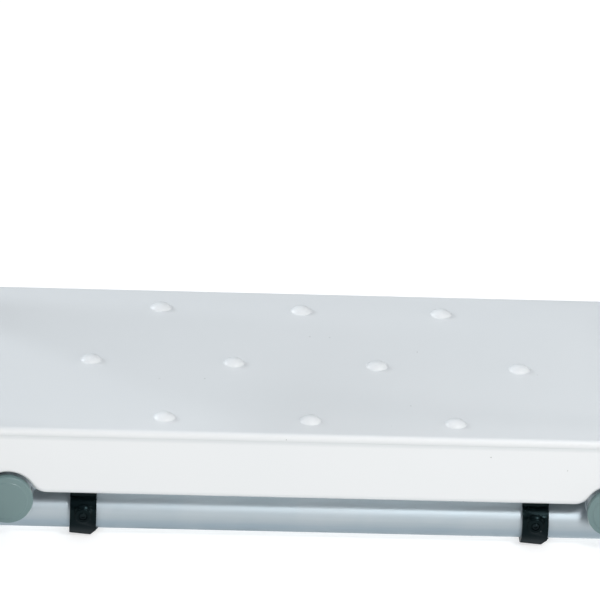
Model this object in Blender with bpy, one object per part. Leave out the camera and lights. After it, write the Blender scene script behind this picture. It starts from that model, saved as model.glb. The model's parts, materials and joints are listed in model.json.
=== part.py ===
"""Bath seat that hangs from the rims of a bath, with a width that adjusts.

A ribbed white seat shell sits on two cross tubes and is clipped to a front and a rear tube.
A bent hanger telescopes into these tubes at each side and reaches up and over the rim.
Metres, +Z up, +X to the right, the user sits facing -Y.
The origin lies on the ground under the middle of the seat.
"""
import math

import bmesh
import bpy
from mathutils import Matrix, Vector

MM = 0.001
FIT = 0.3 * MM
OVERCUT = 0.15 * MM

# Seat shell
SEAT_WIDTH = 480.0 * MM
SEAT_DEPTH = 227.0 * MM
SEAT_CORNER_RADIUS = 22.0 * MM
SEAT_RISE = 69.7 * MM
APRON_HEIGHT = 49.2 * MM
APRON_DRAFT = 0.7 * MM
SKIN = 3.0 * MM
BEAD_RADIUS = 3.4 * MM
BEAD_INSET = 0.4 * MM
BEAD_UNDERCUT = 42.0
GROOVE_DEPTH = 0.65 * MM
GROOVE_DROP = 6.6 * MM
APRON_DROP = 9.5 * MM
LIP_ROUNDING = 3.6 * MM
LIP_WIDTH = 4.8 * MM
LIP_HEIGHT = 9.0 * MM
INNER_FILLET = 2.0 * MM
ARCH_CLEARANCE = 1.5 * MM
ARCH_FILLET = 9.0 * MM

# Nubs on the seat, in staggered rows
NUB_RADIUS = 7.3 * MM
NUB_HEIGHT = 3.8 * MM
NUB_PITCH = 100.0 * MM
NUB_ROW_PITCH = 86.6 * MM
NUB_ROWS = (3, 4, 3)
NUB_OFFSET_X = -2.0 * MM
NUB_OFFSET_Y = -3.8 * MM

# Ribs and bosses under the seat
RIB = 2.4 * MM
RIB_HEIGHT = 10.0 * MM
RIB_BAYS_BETWEEN_CLIPS = 5
RIB_ROW_Y = 23.0 * MM
SADDLE_RIB = 3.2 * MM
SADDLE_REACH = 24.0 * MM
SADDLE_WRAP = 5.0 * MM
BOSS_RADIUS = 6.5 * MM
BOSS_HOLE_DEPTH = 14.0 * MM

# Front and rear tube
TUBE_RADIUS = 12.7 * MM
TUBE_WALL = 1.6 * MM
TUBE_SETBACK = 18.5 * MM
TUBE_END_INSET = 1.0 * MM

# Cross tubes and their caps
CROSS_RADIUS = 15.9 * MM
CROSS_WALL = 1.6 * MM
CROSS_RISE = 16.2 * MM
CROSS_INSET = 32.2 * MM
CAP_RADIUS = 17.6 * MM
CAP_FLANGE = 6.0 * MM
CAP_PROUD = 4.0 * MM
CAP_PLUG = 3.4 * MM
CAP_PLUG_TAPER = 0.8 * MM
CAP_FACE_RADIUS = 13.4 * MM
CAP_FACE_STEP = 0.5 * MM
CAP_CROWN = 0.5 * MM
CAP_ROUNDING = 1.6 * MM

# Clips
CLIP_WALL = 3.3 * MM
CLIP_WIDTH = 18.1 * MM
CLIP_INSET = 84.3 * MM
CLIP_UNDER_APRON = 0.5 * MM
CLIP_NECK_FRONT = 8.0 * MM
CLIP_FLANGE = 3.0 * MM
CLIP_FLANGE_REACH = 17.0 * MM
CLIP_SLIT = 0.6 * MM
CLIP_SLIT_RISE = 9.0 * MM
CLIP_FOOT = 7.0 * MM
CLIP_FOOT_TURN = 52.0
CLIP_SHOULDER = 9.0 * MM
CLIP_SHOULDER_RISE = 1.4 * MM
CLIP_SIDE_RIB = 1.9 * MM
CLIP_SIDE_RIB_SWEEP = 130.0
CLIP_CORNER_CUT = 3.9 * MM
CLIP_EDGE_SLOPE = 1.7 * MM
CLIP_CUT_LEAN = math.radians(25.0)
CLIP_BOSS_RADIUS = 5.9 * MM
CLIP_BOSS_RISE = 1.2 * MM
CLIP_BOSS_ROUNDING = 1.5 * MM
CLIP_RECESS_RADIUS = 4.0 * MM
CLIP_RECESS = 1.6 * MM

# Screws
SCREW_RADIUS = 2.0 * MM
SCREW_HEAD_RADIUS = 3.5 * MM
SCREW_HEAD_HEIGHT = 2.4 * MM
SCREW_SOCKET_RADIUS = 1.5 * MM
SCREW_SOCKET_DEPTH = 1.2 * MM
CLIP_SCREW_RISE = 3.0 * MM
SEAT_SCREW_LENGTH = 14.0 * MM

# Collars, studs and knobs that guide and lock the hangers
COLLAR_WALL = 2.5 * MM
COLLAR_LIP = 3.0 * MM
COLLAR_GRIP = 13.4 * MM
COLLAR_BOSS_RADIUS = 7.0 * MM
COLLAR_BOSS_REACH = 22.0 * MM
COLLAR_BOSS_INSET = 7.0 * MM
COLLAR_EDGE = 1.2 * MM
STUD_RADIUS = 3.0 * MM
STUD_CHAMFER = 0.75 * MM
STUD_IN_KNOB = 8.0 * MM
KNOB_RADIUS = 12.0 * MM
KNOB_LENGTH = 15.0 * MM
KNOB_LOBES = 6
KNOB_LOBE_DEPTH = 2.2 * MM
KNOB_NECK_RADIUS = 7.5 * MM
KNOB_NECK = 3.0 * MM
KNOB_ROUNDING = 2.0 * MM

# Hangers and their rim pads
HANGER_WALL = 1.5 * MM
HANGER_BEND = 28.0 * MM
HANGER_OUT = 50.0 * MM
HANGER_INSERTION = 109.0 * MM
HANGER_HEIGHT = 240.0 * MM
HANGER_REACH = 90.0 * MM
PAD_LENGTH = 32.0 * MM
PAD_WALL = 4.0 * MM
PAD_SOLE = 5.5 * MM
PAD_CORNER = 3.0 * MM
PAD_GROOVE_WIDTH = 2.0 * MM
PAD_GROOVE_DEPTH = 1.0 * MM
PAD_GROOVE_PITCH = 5.5 * MM
PAD_GROOVE_STEPS = (-2, -1, 1, 2)

# Smoothness of round forms
TUBE_SIDES = 24
HANGER_SIDES = 16
HANGER_BORE_SIDES = 8
BEND_STEPS = 5
SMALL_SIDES = 14
SCREW_SIDES = 10
SOCKET_SIDES = 6
KNOB_SIDES = 18
ROUNDING_STEPS = 3
CORNER_STEPS = 4
BEAD_STEPS = 4
CLIP_FRONT_STEPS = 8
CLIP_REAR_STEPS = 5
CLIP_BORE_STEPS = 18
CLIP_SIDE_RIB_STEPS = 8
PAD_TOP_STEPS = 7
PAD_CORNER_STEPS = 2
SHARP_ANGLE = math.radians(35.0)
CUT_MARGIN = 5.0 * MM
SLAB = 60.0 * MM

# Places that follow from the sizes above
TUBE_Z = CLIP_WALL + FIT + TUBE_RADIUS
TUBE_Y = SEAT_DEPTH / 2 - TUBE_SETBACK
TUBE_END = SEAT_WIDTH / 2 - TUBE_END_INSET
TUBE_BORE = TUBE_RADIUS - TUBE_WALL
CROSS_X = SEAT_WIDTH / 2 - CROSS_INSET
CROSS_Z = TUBE_Z + CROSS_RISE
CROSS_END = SEAT_DEPTH / 2 + CAP_PROUD - CAP_FLANGE - FIT
SEAT_TOP = TUBE_Z + SEAT_RISE
SEAT_CEILING = SEAT_TOP - SKIN
APRON_BOTTOM = SEAT_TOP - APRON_HEIGHT
CLIP_X = SEAT_WIDTH / 2 - CLIP_INSET
CLIP_TOP = APRON_BOTTOM - CLIP_UNDER_APRON
CLIP_BORE = TUBE_RADIUS + FIT
CLIP_OUTER = CLIP_BORE + CLIP_WALL
CLIP_BOSS_FRONT = CLIP_OUTER + CLIP_BOSS_RISE
CLIP_HEAD_SEAT = CLIP_BOSS_FRONT - CLIP_RECESS
SEAT_SCREW_Y = TUBE_Y - CLIP_OUTER - CLIP_FLANGE_REACH / 2
BOSS_BOTTOM = CLIP_TOP + FIT
SCREW_HOLE = SCREW_RADIUS + FIT
COLLAR_BORE = TUBE_RADIUS + FIT
COLLAR_RADIUS = COLLAR_BORE + COLLAR_WALL
COLLAR_INNER_END = TUBE_END - COLLAR_GRIP
COLLAR_OUTER_END = TUBE_END + FIT + COLLAR_LIP
KNOB_X = TUBE_END - COLLAR_BOSS_INSET
HANGER_RADIUS = TUBE_BORE - FIT
HANGER_X = SEAT_WIDTH / 2 + HANGER_OUT
HANGER_Z = TUBE_Z + HANGER_HEIGHT
HANGER_BAR_X = HANGER_X + HANGER_REACH
PAD_X = HANGER_X + HANGER_REACH / 2
PAD_BORE = (HANGER_RADIUS + FIT) / math.cos(math.pi / HANGER_SIDES)
SIDES = (("left", -1), ("right", 1))
ENDS = (("front", -1), ("rear", 1))


def make_material(name, color, roughness, metallic=0.0):
    """A plain surface with one colour."""
    material = bpy.data.materials.new(name)
    material.use_nodes = True
    shader = material.node_tree.nodes["Principled BSDF"]
    shader.inputs["Base Color"].default_value = (*color, 1.0)
    shader.inputs["Roughness"].default_value = roughness
    shader.inputs["Metallic"].default_value = metallic
    material.diffuse_color = (*color, 1.0)
    return material


def make_object(name, bm, material=None):
    """Put a bmesh into the scene, with outward faces and smooth round forms."""
    bmesh.ops.recalc_face_normals(bm, faces=bm.faces)
    mesh = bpy.data.meshes.new(name)
    bm.to_mesh(mesh)
    bm.free()
    mesh.shade_smooth()
    mesh.set_sharp_from_angle(angle=SHARP_ANGLE)
    if material is not None:
        mesh.materials.append(material)
    item = bpy.data.objects.new(name, mesh)
    bpy.context.scene.collection.objects.link(item)
    return item


def make_copy(source, name, location, turn=0.0):
    """Another object that shares a mesh and its cuts, turned about the vertical."""
    item = source.copy()
    item.name = name
    bpy.context.scene.collection.objects.link(item)
    item.matrix_world = Matrix.Translation(location) @ Matrix.Rotation(turn, 4, "Z")
    return item


def hide_tool(item):
    """Mark an object that only cuts or adds to another one."""
    item.hide_render = True
    item.display_type = "WIRE"


def combine(target, tools, operation):
    """Cut tools out of an object, or unite them with it, and keep the result as its mesh."""
    for tool in tools:
        hide_tool(tool)
        modifier = target.modifiers.new(operation.lower(), "BOOLEAN")
        modifier.operation = operation
        modifier.solver = "EXACT"
        modifier.object = tool
    bpy.context.view_layer.update()
    evaluated = target.evaluated_get(bpy.context.evaluated_depsgraph_get())
    mesh = bpy.data.meshes.new_from_object(evaluated)
    target.modifiers.clear()
    target.data = mesh
    mesh.shade_smooth()
    mesh.set_sharp_from_angle(angle=SHARP_ANGLE)
    for tool in tools:
        bpy.data.objects.remove(tool)
    return target


def loft(rings):
    """A closed solid through rings of points; a ring of one point is a tip."""
    bm = bmesh.new()
    loops = [[bm.verts.new(point) for point in ring] for ring in rings]
    for lower, upper in zip(loops, loops[1:]):
        count = max(len(lower), len(upper))
        for i in range(count):
            j = (i + 1) % count
            if len(lower) == 1:
                bm.faces.new((lower[0], upper[j], upper[i]))
            elif len(upper) == 1:
                bm.faces.new((lower[i], lower[j], upper[0]))
            else:
                bm.faces.new((lower[i], lower[j], upper[j], upper[i]))
    for loop in (loops[0], loops[-1]):
        if len(loop) > 1:
            bm.faces.new(loop)
    return bm


def loft_ring(rings):
    """A closed solid through rings of points whose last ring meets the first."""
    bm = bmesh.new()
    loops = [[bm.verts.new(point) for point in ring] for ring in rings]
    for lower, upper in zip(loops, loops[1:] + loops[:1]):
        count = len(lower)
        for i in range(count):
            j = (i + 1) % count
            bm.faces.new((lower[i], lower[j], upper[j], upper[i]))
    return bm


def add_skin(bm, rings):
    """Add an open skin through rings of points and return the edges of each ring."""
    loops = [[bm.verts.new(point) for point in ring] for ring in rings]
    for lower, upper in zip(loops, loops[1:]):
        for i in range(len(lower)):
            j = (i + 1) % len(lower)
            bm.faces.new((lower[i], lower[j], upper[j], upper[i]))
    edges = []
    for loop in loops:
        edges.append([bm.edges.get((loop[i - 1], loop[i])) for i in range(len(loop))])
    return edges


def circle_points(radius, sides, place):
    """Points of a circle; place turns two flat coordinates into a point in space."""
    if radius == 0:
        return [place(0.0, 0.0)]
    turns = [math.tau * (i + 0.5) / sides for i in range(sides)]
    return [place(radius * math.cos(turn), radius * math.sin(turn)) for turn in turns]


def along(axis, height, centre=(0.0, 0.0, 0.0)):
    """Return the function that places flat coordinates square to an axis, at a height along it."""
    base = Vector(centre)
    order = {"X": (1, 2, 0), "Y": (2, 0, 1), "Z": (0, 1, 2)}[axis]

    def place(a, b):
        point = Vector((0.0, 0.0, 0.0))
        point[order[0]] = a
        point[order[1]] = b
        point[order[2]] = height
        return base + point

    return place


def turned(profile, axis, sides, centre=(0.0, 0.0, 0.0)):
    """Turn a profile of (radius, height) pairs about an axis."""
    return loft([circle_points(radius, sides, along(axis, height, centre)) for radius, height in profile])


def turned_ring(profile, axis, sides, centre=(0.0, 0.0, 0.0)):
    """Turn a closed profile that stays clear of the axis."""
    rings = [circle_points(radius, sides, along(axis, height, centre)) for radius, height in profile]
    return loft_ring(rings)


def cylinder(radius, low, high, axis, centre, sides):
    """A plain round bar."""
    return turned([(radius, low), (radius, high)], axis, sides, centre)


def box(low, high):
    """A block between two corners."""
    bm = bmesh.new()
    bmesh.ops.create_cube(bm, size=1.0)
    size = [high[i] - low[i] for i in range(3)]
    middle = [(high[i] + low[i]) / 2 for i in range(3)]
    bmesh.ops.scale(bm, vec=size, verts=bm.verts)
    bmesh.ops.translate(bm, vec=middle, verts=bm.verts)
    return bm


def arc(centre, radius, start, end, steps):
    """Points along an arc in a plane, angles in degrees, both ends included."""
    points = []
    for i in range(steps + 1):
        turn = math.radians(start + (end - start) * i / steps)
        points.append((centre[0] + radius * math.cos(turn), centre[1] + radius * math.sin(turn)))
    return points


def seat_outline(inset, z):
    """The seat's rounded plan outline, drawn in by an inset."""
    half_x = SEAT_WIDTH / 2 - inset
    half_y = SEAT_DEPTH / 2 - inset
    radius = max(SEAT_CORNER_RADIUS - inset, FIT)
    corners = ((1, 1, 0), (-1, 1, 90), (-1, -1, 180), (1, -1, 270))
    points = []
    for side_x, side_y, start in corners:
        centre = (side_x * (half_x - radius), side_y * (half_y - radius))
        points += arc(centre, radius, start, start + 90, CORNER_STEPS)
    return [Vector((x, y, z)) for x, y in points]


def seat_skin():
    """The open shell of the seat: ceiling, apron with a thicker rounded lip, bead round the top."""
    lip_edge = LIP_WIDTH - LIP_ROUNDING
    sections = [
        (SKIN + INNER_FILLET, SEAT_CEILING),
        (SKIN, SEAT_CEILING - INNER_FILLET),
        (SKIN, APRON_BOTTOM + LIP_HEIGHT),
        (LIP_WIDTH, APRON_BOTTOM + LIP_HEIGHT - 2 * (LIP_WIDTH - SKIN)),
        (LIP_WIDTH, APRON_BOTTOM + lip_edge),
    ]
    for depth, rise in arc((LIP_ROUNDING, LIP_ROUNDING), LIP_ROUNDING, 270, 180, ROUNDING_STEPS):
        sections.append((depth, APRON_BOTTOM + rise))
    sections.append((APRON_DRAFT, SEAT_TOP - APRON_DROP))
    sections.append((APRON_DRAFT + GROOVE_DEPTH, SEAT_TOP - GROOVE_DROP))
    centre = (BEAD_INSET + BEAD_RADIUS, -BEAD_RADIUS)
    for depth, drop in arc(centre, BEAD_RADIUS, 180 + BEAD_UNDERCUT, 90, BEAD_STEPS):
        sections.append((depth, SEAT_TOP + drop))
    return loft([seat_outline(inset, z) for inset, z in sections])


def nub_places():
    """Centres of the nubs: staggered rows about a grid centre that sits a little off the middle."""
    places = []
    for row, count in enumerate(NUB_ROWS):
        y = NUB_OFFSET_Y + ((len(NUB_ROWS) - 1) / 2 - row) * NUB_ROW_PITCH
        for i in range(count):
            places.append((NUB_OFFSET_X + (i - (count - 1) / 2) * NUB_PITCH, y))
    return places


def nub(x, y):
    """One low dome, the cap of a sphere, that rises from the seat's top."""
    sphere = (NUB_RADIUS ** 2 + NUB_HEIGHT ** 2) / (2 * NUB_HEIGHT)
    slope = math.asin(NUB_RADIUS / sphere)
    profile = [(NUB_RADIUS, -SKIN / 2)]
    for i in range(ROUNDING_STEPS):
        turn = slope * (1 - i / ROUNDING_STEPS)
        profile.append((sphere * math.sin(turn), NUB_HEIGHT - sphere * (1 - math.cos(turn))))
    profile.append((0.0, NUB_HEIGHT))
    return turned(profile, "Z", SMALL_SIDES, (x, y, SEAT_TOP))


def arch_outline(growth):
    """Outline that leaves room for a cap, with filleted corners, grown outward by some amount."""
    radius = CAP_RADIUS + ARCH_CLEARANCE + growth
    rise = APRON_BOTTOM - CROSS_Z - OVERCUT
    fillet = ARCH_FILLET - growth
    reach = CAP_RADIUS + ARCH_CLEARANCE + ARCH_FILLET
    fillet_z = rise + ARCH_FILLET
    fillet_x = math.sqrt(reach ** 2 - fillet_z ** 2)
    lean = math.degrees(math.atan2(fillet_z, fillet_x))
    bottom = -CAP_RADIUS
    right = arc((fillet_x, fillet_z), fillet, 270, 180 + lean, CORNER_STEPS)
    over = arc((0.0, 0.0), radius, lean, 180 - lean, 2 * CORNER_STEPS)
    left = arc((-fillet_x, fillet_z), fillet, -lean, -90, CORNER_STEPS)
    return [(fillet_x, bottom)] + right + over[1:-1] + left + [(-fillet_x, bottom)]


def arch_cutter(x, side):
    """Solid that opens the apron over a cap and rounds the opening's outer edge as the lip is."""
    sections = [(LIP_ROUNDING, -CUT_MARGIN)]
    for depth, growth in arc((LIP_ROUNDING, LIP_ROUNDING), LIP_ROUNDING, 180, 270, ROUNDING_STEPS):
        sections.append((growth, depth))
    sections.append((0.0, LIP_WIDTH + CUT_MARGIN))
    rings = []
    for growth, depth in sections:
        y = side * (SEAT_DEPTH / 2 - depth)
        rings.append([Vector((x + a, y, CROSS_Z + b)) for a, b in arch_outline(growth)])
    return loft(rings)


def seat_ribs():
    """Blocks for the ribs under the ceiling: a grid, and deep ones that saddle the cross tubes."""
    overlap = SKIN / 2
    low = SEAT_CEILING - RIB_HEIGHT
    high = SEAT_CEILING + overlap
    long_x = SEAT_WIDTH / 2 - overlap
    long_y = SEAT_DEPTH / 2 - overlap
    blocks = []
    deep = CROSS_Z + SADDLE_WRAP
    for row, start in ((RIB_ROW_Y, CROSS_X - SADDLE_REACH), (SEAT_SCREW_Y, CLIP_X)):
        for _, side_y in ENDS:
            y = side_y * row
            blocks.append(box((-long_x, y - RIB / 2, low), (long_x, y + RIB / 2, high)))
            for _, side_x in SIDES:
                ends = sorted((side_x * start, side_x * long_x))
                blocks.append(box((ends[0], y - SADDLE_RIB / 2, deep), (ends[1], y + SADDLE_RIB / 2, high)))
    for i in range(RIB_BAYS_BETWEEN_CLIPS + 1):
        x = CLIP_X * (2 * i / RIB_BAYS_BETWEEN_CLIPS - 1)
        blocks.append(box((x - RIB / 2, -long_y, low), (x + RIB / 2, long_y, high)))
    return blocks


def seat_bosses():
    """Round columns that the clips are screwed to."""
    bosses = []
    for _, side_x in SIDES:
        for _, side_y in ENDS:
            centre = (side_x * CLIP_X, side_y * SEAT_SCREW_Y, 0.0)
            top = SEAT_CEILING + SKIN / 2
            bosses.append(cylinder(BOSS_RADIUS, BOSS_BOTTOM, top, "Z", centre, SMALL_SIDES))
    return bosses


def make_seat(white):
    """The seat moulding."""
    seat = make_object("seat_shell", seat_skin(), white)
    added = [make_object("rib", block) for block in seat_ribs()]
    added += [make_object("boss", boss) for boss in seat_bosses()]
    added += [make_object("nub", nub(x, y)) for x, y in nub_places()]
    combine(seat, added, "UNION")
    cutters = []
    for _, side_x in SIDES:
        x = side_x * CROSS_X
        reach = SEAT_DEPTH / 2 - LIP_WIDTH
        bar = cylinder(CROSS_RADIUS + FIT, -reach, reach, "Y", (x, 0.0, CROSS_Z), TUBE_SIDES)
        cutters.append(make_object("cutter", bar))
        for _, side_y in ENDS:
            cutters.append(make_object("cutter", arch_cutter(x, side_y)))
            centre = (side_x * CLIP_X, side_y * SEAT_SCREW_Y, 0.0)
            low = BOSS_BOTTOM - CUT_MARGIN
            high = BOSS_BOTTOM + BOSS_HOLE_DEPTH
            hole = cylinder(SCREW_HOLE, low, high, "Z", centre, SMALL_SIDES)
            cutters.append(make_object("cutter", hole))
    combine(seat, cutters, "DIFFERENCE")
    return seat


def make_long_tube(name, side, aluminium):
    """The front or the rear tube, with holes for the clip screws and the studs."""
    profile = [
        (TUBE_BORE, -TUBE_END),
        (TUBE_RADIUS, -TUBE_END),
        (TUBE_RADIUS, TUBE_END),
        (TUBE_BORE, TUBE_END),
    ]
    centre = (0.0, side * TUBE_Y, TUBE_Z)
    tube = make_object(name, turned_ring(profile, "X", TUBE_SIDES, centre), aluminium)
    holes = []
    for _, side_x in SIDES:
        places = ((CLIP_X, CLIP_SCREW_RISE, SCREW_HOLE), (KNOB_X, 0.0, STUD_RADIUS + FIT))
        for x, rise, radius in places:
            ends = sorted((side * TUBE_Y, side * (TUBE_Y + TUBE_RADIUS + CUT_MARGIN)))
            hole_centre = (side_x * x, 0.0, TUBE_Z + rise)
            hole = cylinder(radius, ends[0], ends[1], "Y", hole_centre, SMALL_SIDES)
            holes.append(make_object("cutter", hole))
    return combine(tube, holes, "DIFFERENCE")


def make_cross_tube(name, side, aluminium):
    """A tube from front to back, fish-mouthed underneath so that it sits down over the long tubes."""
    bore = CROSS_RADIUS - CROSS_WALL
    profile = [
        (bore, -CROSS_END),
        (CROSS_RADIUS, -CROSS_END),
        (CROSS_RADIUS, CROSS_END),
        (bore, CROSS_END),
    ]
    centre = (side * CROSS_X, 0.0, CROSS_Z)
    tube = make_object(name, turned_ring(profile, "Y", TUBE_SIDES, centre), aluminium)
    mouths = []
    for _, side_y in ENDS:
        reach = CROSS_RADIUS + CUT_MARGIN
        mouth_centre = (side * CROSS_X, side_y * TUBE_Y, TUBE_Z)
        mouth = cylinder(TUBE_RADIUS + FIT, -reach, reach, "X", mouth_centre, TUBE_SIDES)
        mouths.append(make_object("cutter", mouth))
    return combine(tube, mouths, "DIFFERENCE")


def make_cap(grey):
    """A round end cap, its face towards -Y and its flange's back at the origin."""
    plug = CROSS_RADIUS - CROSS_WALL - FIT
    rim_height = CAP_FLANGE - CAP_FACE_STEP - CAP_CROWN
    profile = [
        (0.0, CAP_PLUG),
        (plug - CAP_PLUG_TAPER, CAP_PLUG),
        (plug, 0.0),
        (CAP_RADIUS, 0.0),
    ]
    centre = (CAP_RADIUS - CAP_ROUNDING, rim_height - CAP_ROUNDING)
    for radius, height in arc(centre, CAP_ROUNDING, 0, 90, ROUNDING_STEPS):
        profile.append((radius, -height))
    profile += [
        (CAP_FACE_RADIUS + CAP_FACE_STEP, -(CAP_FLANGE - CAP_FACE_STEP)),
        (CAP_FACE_RADIUS, -CAP_FLANGE),
        (0.0, -CAP_FLANGE),
    ]
    return make_object("cap_pattern", turned(profile, "Y", TUBE_SIDES), grey)


def clip_outline():
    """Side profile of a clip about the tube's axis: a split ring with a flat foot, a neck and a flange.

    The first value points out of the seat, the second up.
    """
    top = CLIP_TOP - TUBE_Z
    under_flange = top - CLIP_FLANGE
    shoulder_z = CLIP_SHOULDER_RISE - CLIP_OUTER
    slit_low = CLIP_SLIT_RISE
    slit_high = CLIP_SLIT_RISE + CLIP_SLIT
    neck = math.degrees(math.acos(CLIP_NECK_FRONT / CLIP_OUTER))
    split = math.degrees(math.asin(slit_low / CLIP_OUTER))
    rear = CLIP_OUTER * math.cos(math.radians(split))
    start = 180 - math.degrees(math.asin(slit_low / CLIP_BORE))
    end = 540 - math.degrees(math.asin(slit_high / CLIP_BORE))
    return [
        (CLIP_NECK_FRONT, top),
        *arc((0.0, 0.0), CLIP_OUTER, neck, -CLIP_FOOT_TURN, CLIP_FRONT_STEPS),
        (CLIP_SHOULDER, shoulder_z),
        (CLIP_FOOT, -CLIP_OUTER),
        (-CLIP_FOOT, -CLIP_OUTER),
        (-CLIP_SHOULDER, shoulder_z),
        *arc((0.0, 0.0), CLIP_OUTER, CLIP_FOOT_TURN - 180, -180 - split, CLIP_REAR_STEPS),
        *arc((0.0, 0.0), CLIP_BORE, start, end, CLIP_BORE_STEPS),
        (-rear, slit_high),
        (-rear, under_flange),
        (-CLIP_OUTER - CLIP_FLANGE_REACH, under_flange),
        (-CLIP_OUTER - CLIP_FLANGE_REACH, top),
    ]


def clip_side_rib():
    """A rim on one side of a clip, round the lower rear of the tube."""
    start = 360 - CLIP_SIDE_RIB_SWEEP
    outline = arc((0.0, 0.0), CLIP_OUTER, start, 360, CLIP_SIDE_RIB_STEPS)
    outline += arc((0.0, 0.0), CLIP_BORE + FIT, 360, start, CLIP_SIDE_RIB_STEPS)
    ends = (CLIP_WIDTH / 2 - FIT, CLIP_WIDTH / 2 + CLIP_SIDE_RIB)
    return loft([[Vector((x, y, z)) for y, z in outline] for x in ends])


def clip_boss():
    """The round swelling in which a clip's screw sits."""
    foot = -CLIP_BORE - FIT
    profile = [(0.0, foot), (CLIP_BOSS_RADIUS, foot)]
    centre = (CLIP_BOSS_RADIUS - CLIP_BOSS_ROUNDING, CLIP_BOSS_FRONT - CLIP_BOSS_ROUNDING)
    for radius, reach in arc(centre, CLIP_BOSS_ROUNDING, 0, 90, ROUNDING_STEPS):
        profile.append((radius, -reach))
    profile.append((0.0, -CLIP_BOSS_FRONT))
    return turned(profile, "Y", SMALL_SIDES, (0.0, 0.0, CLIP_SCREW_RISE))


def slab(point, first, second):
    """A thick block that lies below a plane through a point along two directions."""
    across = first.normalized()
    down = first.cross(second).normalized()
    if down.z > 0:
        down.negate()
    turn = Matrix((across, down.cross(across), down)).transposed().to_4x4()
    bm = bmesh.new()
    bmesh.ops.create_cube(bm, size=SLAB)
    bmesh.ops.transform(bm, matrix=Matrix.Translation(point + down * SLAB / 2) @ turn, verts=bm.verts)
    return bm


def clip_foot_slabs():
    """Blocks that slope a clip's lower front edge and take off its corner, along planes that lean back."""
    back = Vector((0.0, math.cos(CLIP_CUT_LEAN), -math.sin(CLIP_CUT_LEAN)))
    toe = Vector((CLIP_WIDTH / 2, -CLIP_FOOT, -CLIP_OUTER - OVERCUT))
    corner = toe - Vector((CLIP_CORNER_CUT, 0.0, 0.0))
    return (
        slab(toe, Vector((CLIP_WIDTH, 0.0, -CLIP_EDGE_SLOPE)), back),
        slab(corner, Vector((1.0, 0.0, 1.0)), back),
    )


def make_clip(black):
    """A clip at the origin of its tube, its strap towards -Y."""
    half = CLIP_WIDTH / 2
    outline = [(-out, up) for out, up in clip_outline()]
    body = loft([[Vector((x, y, z)) for y, z in outline] for x in (-half, half)])
    clip = make_object("clip_pattern", body, black)
    combine(clip, [make_object("rib", clip_side_rib()), make_object("boss", clip_boss())], "UNION")
    hole_profile = [
        (SCREW_HOLE, 0.0),
        (SCREW_HOLE, -CLIP_HEAD_SEAT),
        (CLIP_RECESS_RADIUS, -CLIP_HEAD_SEAT),
        (CLIP_RECESS_RADIUS, -CLIP_BOSS_FRONT - CUT_MARGIN),
    ]
    hole = turned(hole_profile, "Y", SMALL_SIDES, (0.0, 0.0, CLIP_SCREW_RISE))
    flange_centre = (0.0, TUBE_Y - SEAT_SCREW_Y, CLIP_TOP - TUBE_Z)
    flange_reach = CLIP_FLANGE + CUT_MARGIN
    flange_hole = cylinder(SCREW_HOLE, -flange_reach, flange_reach, "Z", flange_centre, SMALL_SIDES)
    cutters = [make_object("cutter", cutter) for cutter in (hole, flange_hole, *clip_foot_slabs())]
    return combine(clip, cutters, "DIFFERENCE")


def screw_solid(axis, length, head_way):
    """A domed screw whose head's underside is at the origin; the shank runs against head_way."""
    profile = [(0.0, -head_way * length), (SCREW_RADIUS, -head_way * length), (SCREW_RADIUS, 0.0)]
    for i in range(ROUNDING_STEPS):
        turn = math.pi / 2 * i / ROUNDING_STEPS
        profile.append((SCREW_HEAD_RADIUS * math.cos(turn), head_way * SCREW_HEAD_HEIGHT * math.sin(turn)))
    profile.append((0.0, head_way * SCREW_HEAD_HEIGHT))
    return turned(profile, axis, SCREW_SIDES)


def make_socket_screw(name, axis, length, head_way, black):
    """A domed screw with a six-sided socket."""
    screw = make_object(name, screw_solid(axis, length, head_way), black)
    floor = SCREW_HEAD_HEIGHT - SCREW_SOCKET_DEPTH
    ends = sorted((head_way * floor, head_way * (SCREW_HEAD_HEIGHT + CUT_MARGIN)))
    socket = cylinder(SCREW_SOCKET_RADIUS, ends[0], ends[1], axis, (0.0, 0.0, 0.0), SOCKET_SIDES)
    return combine(screw, [make_object("cutter", socket)], "DIFFERENCE")


def make_collar(side, black):
    """A collar about its tube's axis at the origin, lip towards the hanger, boss towards -Y."""
    inner = side * COLLAR_INNER_END
    outer = side * COLLAR_OUTER_END
    step = side * (TUBE_END + FIT)
    edge = side * COLLAR_EDGE
    profile = [
        (COLLAR_BORE, inner),
        (COLLAR_RADIUS, inner),
        (COLLAR_RADIUS, outer - edge),
        (COLLAR_RADIUS - COLLAR_EDGE, outer),
        (TUBE_BORE, outer),
        (TUBE_BORE, step),
        (COLLAR_BORE, step),
    ]
    collar = make_object("collar_pattern", turned_ring(profile, "X", TUBE_SIDES), black)
    boss_profile = [
        (COLLAR_BOSS_RADIUS, -COLLAR_BORE - FIT),
        (COLLAR_BOSS_RADIUS, COLLAR_EDGE - COLLAR_BOSS_REACH),
        (COLLAR_BOSS_RADIUS - COLLAR_EDGE, -COLLAR_BOSS_REACH),
    ]
    centre = (side * KNOB_X, 0.0, 0.0)
    boss = make_object("boss", turned(boss_profile, "Y", SMALL_SIDES, centre))
    combine(collar, [boss], "UNION")
    hole = cylinder(STUD_RADIUS + FIT, -COLLAR_BOSS_REACH - CUT_MARGIN, 0.0, "Y", centre, SMALL_SIDES)
    return combine(collar, [make_object("cutter", hole)], "DIFFERENCE")


def lobed_ring(radius, depth, y):
    """A ring of a knob's hand grip, square to Y."""
    points = []
    for i in range(KNOB_SIDES):
        turn = math.tau * i / KNOB_SIDES
        reach = radius - depth * (1 - math.cos(KNOB_LOBES * turn)) / 2
        points.append(Vector((reach * math.sin(turn), y, reach * math.cos(turn))))
    return points


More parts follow.
